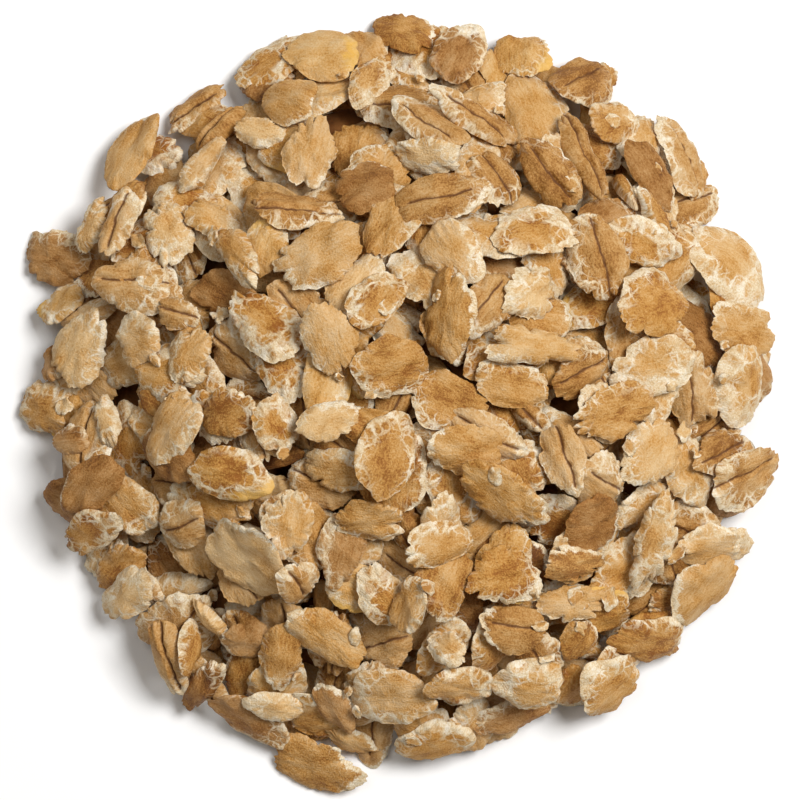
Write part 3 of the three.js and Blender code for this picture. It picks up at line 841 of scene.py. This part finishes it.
def core_piece(random):
    """The mound under the flakes: an uneven dome with a flat underside."""
    radius = HEAP_RADIUS
    while heap_surface(HEAP_PEAK[0] + radius, HEAP_PEAK[1]) < CORE_DEPTH:
        radius -= CORE_STEP
    radius -= CORE_FOOT_ROOM
    net = Net(**CORE_NET)
    x = HEAP_PEAK[0] + radius * net.out * np.cos(net.angle)
    y = HEAP_PEAK[1] + radius * net.out * np.sin(net.angle)
    lumps = ripples(random, x[None], y[None], CORE_LUMPS["lengths"], CORE_LUMPS["waves"])[0]
    dome = heap_surface(x, y) - CORE_DEPTH + CORE_LUMPS["height"] * lumps
    z = np.where(net.side > 0, np.maximum(dome, CORE_LEAST_HEIGHT), FLOOR_GAP)
    places = np.stack([x, y, z], axis=-1) - np.array([*HEAP_MIDDLE, 0])
    corners = np.concatenate([np.array(face) for face in net.faces])
    sizes = np.array([len(face) for face in net.faces])
    return add_object("core", make_mesh("core", places, corners, sizes))


FILLING_SIZE = (0.84, 1.02)  # of the flakes that the photo doesn't settle, against the solid's
DEEP_FLAKES = 110  # between the pile and the core
DEEP_LAYER = (5.4, 7.2)  # how far these are under the heap's surface
DEEP_TILT = 0.55
DEEP_FOOT_ROOM = 12
FOOT_FLAKES = 52  # round the core's foot
FOOT_SHIFT = 0.4  # of the way to the next one
FOOT_RING = (35, 39)
FOOT_LAYER = (0, 2.6)  # how far these are over the floor
FOOT_TILT = 0.2

CRUMBS = 46
CRUMB = {"length": (1.3, 3.6), "width": (0.55, 0.95), "thickness": (0.35, 0.6)}


def strew_crumbs(pile, random):
    """Chips that broke off the flakes and lie on the pile."""
    for _ in range(CRUMBS):
        radius = (HEAP_RADIUS - FOOT_ROOM) * math.sqrt(random.uniform())
        angle = random.uniform(0, 2 * math.pi)
        length = random.uniform(*CRUMB["length"])
        pile.lay(
            x=HEAP_PEAK[0] + radius * math.cos(angle), y=HEAP_PEAK[1] + radius * math.sin(angle),
            turn=random.uniform(0, 2 * math.pi), length=length,
            width=length * random.uniform(*CRUMB["width"]),
            thickness=random.uniform(*CRUMB["thickness"]), look="b", seen=1,
            unevenness=random.uniform(), lean=0, propped=0,
        )


def hidden_flake(random, radius, angle, z, slope):
    """A broad flake that the pile covers, at a place from the heap's middle."""
    length = random.uniform(*BROAD["length"])
    return {
        "x": HEAP_PEAK[0] + radius * math.cos(angle), "y": HEAP_PEAK[1] + radius * math.sin(angle),
        "z": z, "turn": random.uniform(0, 2 * math.pi), "slope": slope, "length": length,
        "width": length * random.uniform(*BROAD["width"]),
        "thickness": random.uniform(*BROAD["thickness"]),
        "unevenness": random.uniform(), "look": None, "seen": 1,
    }


def deep_flakes(random):
    """Flakes that show at the bottom of the gaps, strewn over the core and round its foot."""
    flakes = []
    for _ in range(DEEP_FLAKES):
        radius = (HEAP_RADIUS - DEEP_FOOT_ROOM) * math.sqrt(random.uniform())
        angle = random.uniform(0, 2 * math.pi)
        x = HEAP_PEAK[0] + radius * math.cos(angle)
        y = HEAP_PEAK[1] + radius * math.sin(angle)
        slope = surface_slope(x, y) + random.uniform(-DEEP_TILT, DEEP_TILT, 2)
        z = heap_surface(x, y) - random.uniform(*DEEP_LAYER)
        flakes.append(hidden_flake(random, radius, angle, z, slope))
    for place in range(FOOT_FLAKES):
        shifted = place + random.uniform(-FOOT_SHIFT, FOOT_SHIFT)
        angle = 2 * math.pi * shifted / FOOT_FLAKES
        slope = random.uniform(-FOOT_TILT, FOOT_TILT, 2)
        radius, z = random.uniform(*FOOT_RING), random.uniform(*FOOT_LAYER)
        flakes.append(hidden_flake(random, radius, angle, z, slope))
    return flakes


def finish_piece(piece, material):
    piece.data.materials.append(material)
    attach(piece, "root")
    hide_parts("flake_heap")


def add_heap():
    random = np.random.default_rng(SEED)
    pile = pour_flakes()
    strew_crumbs(pile, random)
    flakes = pile.flakes + deep_flakes(random)
    shares = np.array([look["share"] for look in LOOKS.values()])
    for flake in flakes:
        draw = random.choice(list(LOOKS), p=shares / shares.sum())
        if flake["look"] is None:
            flake["look"] = draw
            flake["length"] *= random.uniform(*FILLING_SIZE)
            flake["width"] *= random.uniform(*FILLING_SIZE)
    fine, plain = Net(**FINE_NET), Net(**PLAIN_NET)
    for key, look in LOOKS.items():
        alike = [flake for flake in flakes if flake["look"] == key and flake["seen"] > 0]
        well = [flake for flake in alike if flake["seen"] >= SEEN_WELL]
        hardly = [flake for flake in alike if flake["seen"] < SEEN_WELL]
        piece = flake_piece(look["piece"], [(well, fine), (hardly, plain)], random, look)
        finish_piece(piece, bran_material(look["piece"].replace("flakes", "bran"), look))
    finish_piece(core_piece(random), core_material())


# ---------------------------------------------------------------------------- floor, light, camera

# In metres and watts, but where it says otherwise.
FLOOR_SIZE = 3
FLOOR_COLOUR = paint(250, 250, 250)
FLOOR_ROUGHNESS = 0.9
FLOOR_SPECULAR = 0.5
ROOM_COLOUR = (1, 0.92, 0.81, 1)
ROOM_STRENGTH = 0.18
KEY_LAMP = {"name": "key", "place": (0.4, 0.24, 0.84), "size": 0.36, "power": 9.4}
TOP_LAMP = {"name": "top", "place": (-0.25, 0.3, 1.1), "size": 0.4, "power": 1.8}
CAMERA_HEIGHT = 0.6
VIEW_WIDTH = 0.1  # of the plane at the foot flakes' height
FOOT_HEIGHT = 0.004
VIEW_MIDDLE = (0.125, 0.5)  # in the pile's own millimetres
SENSOR = 36  # millimetres
CLIP = (0.01, 10)


def add_stage():
    bpy.ops.mesh.primitive_plane_add(size=FLOOR_SIZE)
    floor = bpy.context.object
    floor.name = "floor"
    shader = Shader("pale_floor")
    floor.data.materials.append(shader.finish(FLOOR_COLOUR, FLOOR_ROUGHNESS, FLOOR_SPECULAR))


def add_area_light(name, place, size, power):
    """A square lamp that faces the heap."""
    data = bpy.data.lights.new(name, "AREA")
    data.size = size
    data.energy = power
    lamp = bpy.data.objects.new(name, data)
    lamp.location = place
    x, y, z = place
    lamp.rotation_euler = (math.atan2(math.hypot(x, y), z), 0, math.atan2(y, x) + math.pi / 2)
    bpy.context.scene.collection.objects.link(lamp)


def add_light():
    world = bpy.data.worlds.new("studio")
    world.use_nodes = True
    background = world.node_tree.nodes["Background"]
    background.inputs["Color"].default_value = ROOM_COLOUR
    background.inputs["Strength"].default_value = ROOM_STRENGTH
    bpy.context.scene.world = world
    add_area_light(**KEY_LAMP)
    add_area_light(**TOP_LAMP)
    bpy.context.scene.view_settings.view_transform = "Standard"


def add_camera():
    data = bpy.data.cameras.new("camera")
    data.sensor_width = SENSOR
    data.lens = SENSOR * (CAMERA_HEIGHT - FOOT_HEIGHT) / VIEW_WIDTH
    data.clip_start, data.clip_end = CLIP
    camera = bpy.data.objects.new("camera", data)
    x, y = (METRES * (seen - middle) for seen, middle in zip(VIEW_MIDDLE, HEAP_MIDDLE))
    camera.location = (x, y, CAMERA_HEIGHT)
    bpy.context.scene.collection.objects.link(camera)
    bpy.context.scene.camera = camera


add_heap()
add_stage()
add_light()
add_camera()
